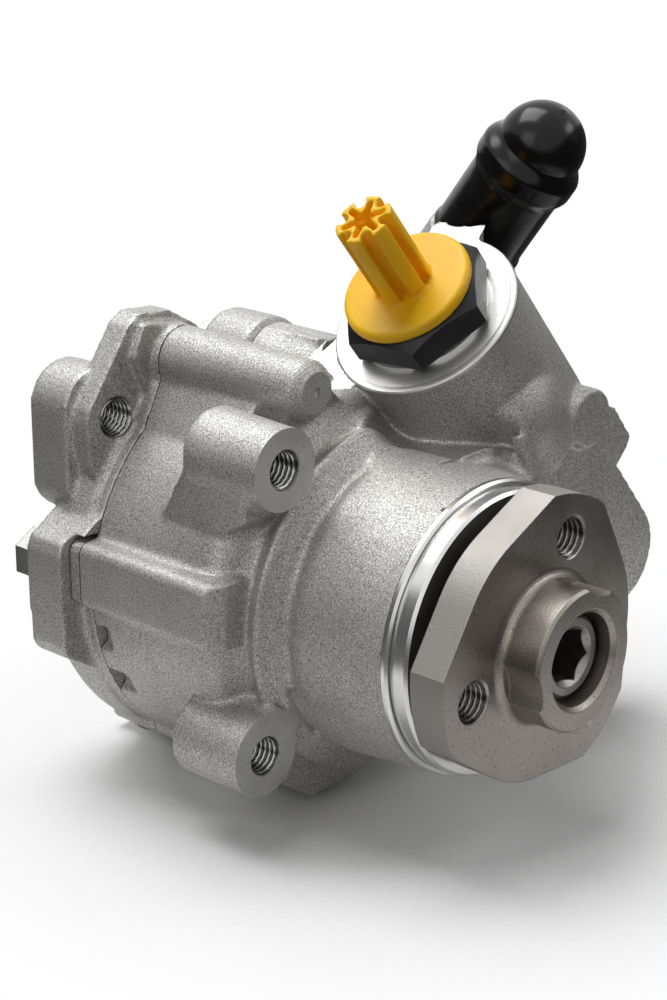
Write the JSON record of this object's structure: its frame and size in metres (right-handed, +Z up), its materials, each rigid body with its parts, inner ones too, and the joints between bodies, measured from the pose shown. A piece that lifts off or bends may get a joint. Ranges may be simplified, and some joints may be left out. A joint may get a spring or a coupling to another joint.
{
  "type": "power steering pump",
  "caption": "Vane-type power steering pump in a cast aluminium housing with a lobed pulley hub, tapped mounting bosses, a plugged pressure union and a capped suction stub.",
  "frame": {"origin": "centre of the pulley seat, the front face of the hub plate, on the shaft axis", "axes": "+Y along the shaft from the hub to the rear cover, +Z up, +X to the right seen from the pulley side"},
  "size_m": [0.1218, 0.1142, 0.1384],
  "materials": {
    "cast_aluminium": "as cast, shot blasted, machined bright on the port and mounting faces",
    "hub_steel": "forged steel, turned and phosphated, brownish grey",
    "shaft_steel": "turned steel, lightly oiled",
    "bearing_steel": "ground and polished",
    "cage_plastic": "moulded polyamide",
    "spring_steel": "blued spring steel",
    "seal_rubber": "moulded nitrile rubber",
    "bush_bronze": "sintered bronze",
    "rotor_steel": "hardened and ground",
    "bolt_zinc": "zinc plated",
    "union_black": "black oxide on turned steel",
    "washer_metal": "soft bright aluminium",
    "plug_yellow": "moulded polyethylene",
    "cap_black": "dipped vinyl, glossy",
    "stub_zinc": "zinc plated tube"
  },
  "bodies": {
    "housing": {"pump_housing": "cast_aluminium", "rear_cover": "cast_aluminium", "cover_bolts": "bolt_zinc", "bearing_outer_ring": "bearing_steel", "bearing_circlip": "spring_steel", "shaft_seal": "seal_rubber", "front_bush": "bush_bronze", "rear_bush": "bush_bronze", "cam_ring": "rotor_steel", "front_side_plate": "rotor_steel", "rear_side_plate": "rotor_steel", "dowel_pins": "bearing_steel", "plate_spring": "spring_steel", "cover_o_ring": "seal_rubber", "pressure_union": "union_black", "union_washer": "washer_metal", "valve_spring": "spring_steel", "suction_stub": "stub_zinc", "suction_cap": "cap_black"},
    "shaft": {"pulley_hub": "hub_steel", "drive_shaft": "shaft_steel", "bearing_inner_ring": "bearing_steel", "rotor": "rotor_steel", "vanes": "rotor_steel", "rotor_circlip": "spring_steel"},
    "cage": {"bearing_cage": "cage_plastic", "bearing_balls": "bearing_steel"},
    "valve": {"flow_valve_spool": "bearing_steel"},
    "plug": {"transport_plug": "plug_yellow"}
  },
  "joints": [
    {"name": "shaft_spin", "type": "hinge", "parent": "housing", "child": "shaft", "pos_m": [0, 0, 0], "axis": [0, 1, 0], "continuous": true},
    {"name": "cage_spin", "type": "hinge", "parent": "housing", "child": "cage", "pos_m": [0, 0.0208, 0], "axis": [0, 1, 0], "continuous": true},
    {"name": "flow_valve", "type": "slide", "parent": "housing", "child": "valve", "axis": [0.6428, 0, -0.766], "range_m": [0, 0.002], "stiffness_N_per_m": 3000, "springref_m": -0.003, "deforming": ["valve_spring"]},
    {"name": "plug_pull", "type": "slide", "parent": "housing", "child": "plug", "axis": [-0.6428, 0, 0.766], "range_m": [0, 0.024]}
  ],
  "couplings": [
    {"joint": "cage_spin", "follows": "shaft_spin", "ratio": 0.38246}
  ]
}
